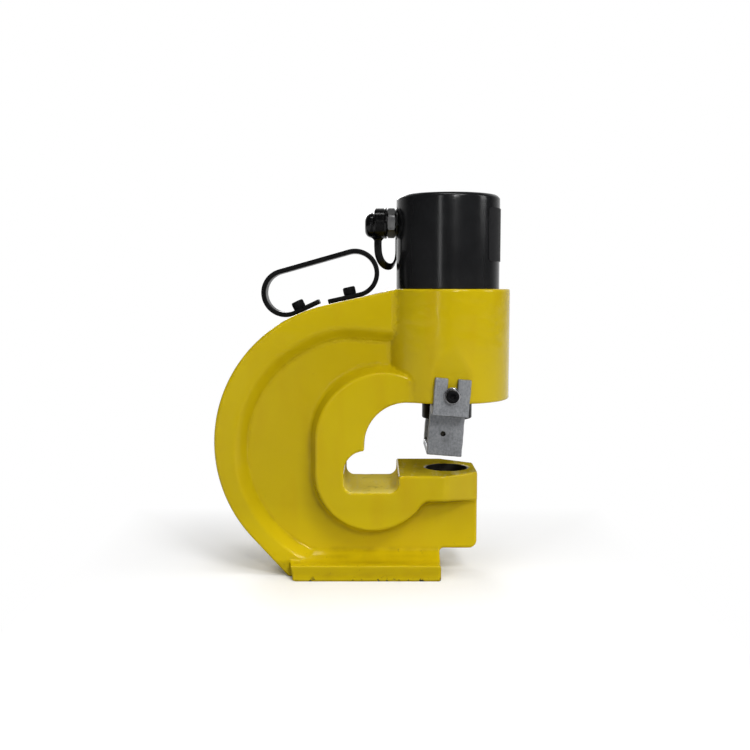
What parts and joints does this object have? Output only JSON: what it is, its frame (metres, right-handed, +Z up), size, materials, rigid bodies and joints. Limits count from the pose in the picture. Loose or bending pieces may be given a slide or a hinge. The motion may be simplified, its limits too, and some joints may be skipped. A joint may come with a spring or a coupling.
{
  "type": "hydraulic hole punch",
  "caption": "Hydraulic hole punch: a cast C-frame on a flat base holds a vertical cylinder, whose ram drives a punch through a stripper into a die seat in the lower jaw.",
  "frame": {"origin": "middle of the base's underside", "axes": "+Z up along the ram, +X from the frame's back towards the punch, +Y to the side away from the pictured face"},
  "size_m": [0.31, 0.1588, 0.398],
  "materials": {
    "enamel": "gloss yellow enamel on a casting",
    "barrel_black": "satin black",
    "plate_blank": "blank dark plate",
    "black_oxide": "black oxide",
    "handle_black": "satin black",
    "bronze": "turned",
    "rubber": "matt black",
    "zinc_steel": "zinc plated",
    "ram_steel": "hard chromed",
    "plastic_white": "plain",
    "spring_steel": "oiled",
    "tool_steel": "ground",
    "milled_steel": "milled grey steel"
  },
  "bodies": {
    "frame": {"c_frame": "enamel", "cylinder_barrel": "barrel_black", "rating_plate": "plate_blank", "barrel_lock_screw": "black_oxide", "ram_guide_bush": "bronze", "ram_wiper": "rubber", "die_lock_screw": "black_oxide", "carry_handle": "handle_black", "handle_screw_back": "black_oxide", "handle_screw_front": "black_oxide", "stripper_screw_front": "black_oxide", "stripper_screw_rear": "black_oxide", "stripper_washer_front": "zinc_steel", "stripper_washer_rear": "zinc_steel", "coupler_nipple": "zinc_steel", "coupler_retainer": "zinc_steel", "dust_cap_ring": "rubber", "return_spring": "spring_steel", "coupler_spring": "spring_steel"},
    "ram": {"ram": "ram_steel", "piston_seal": "rubber", "piston_backup_ring": "plastic_white", "piston_guide_ring": "bronze", "punch_nut": "black_oxide", "punch": "tool_steel"},
    "stripper": {"stripper": "milled_steel"},
    "coupler_valve": {"coupler_poppet": "zinc_steel"},
    "dust_cap": {"dust_cap": "rubber", "dust_cap_strap": "rubber"}
  },
  "joints": [
    {"name": "ram_stroke", "type": "slide", "parent": "frame", "child": "ram", "axis": [0, 0, -1], "range_m": [0, 0.025], "stiffness_N_per_m": 12000, "springref_m": -0.01, "deforming": ["return_spring"]},
    {"name": "stripper_adjust", "type": "slide", "parent": "frame", "child": "stripper", "axis": [0.0785, 0, 0.9969], "range_m": [-0.012, 0.002]},
    {"name": "coupler_valve_open", "type": "slide", "parent": "frame", "child": "coupler_valve", "axis": [1, 0, 0], "range_m": [0, 0.003], "stiffness_N_per_m": 2200, "springref_m": -0.002, "deforming": ["coupler_spring"]},
    {"name": "dust_cap_pull", "type": "slide", "parent": "frame", "child": "dust_cap", "axis": [-1, 0, 0], "range_m": [0, 0.018], "deforming": ["dust_cap_strap"]}
  ]
}
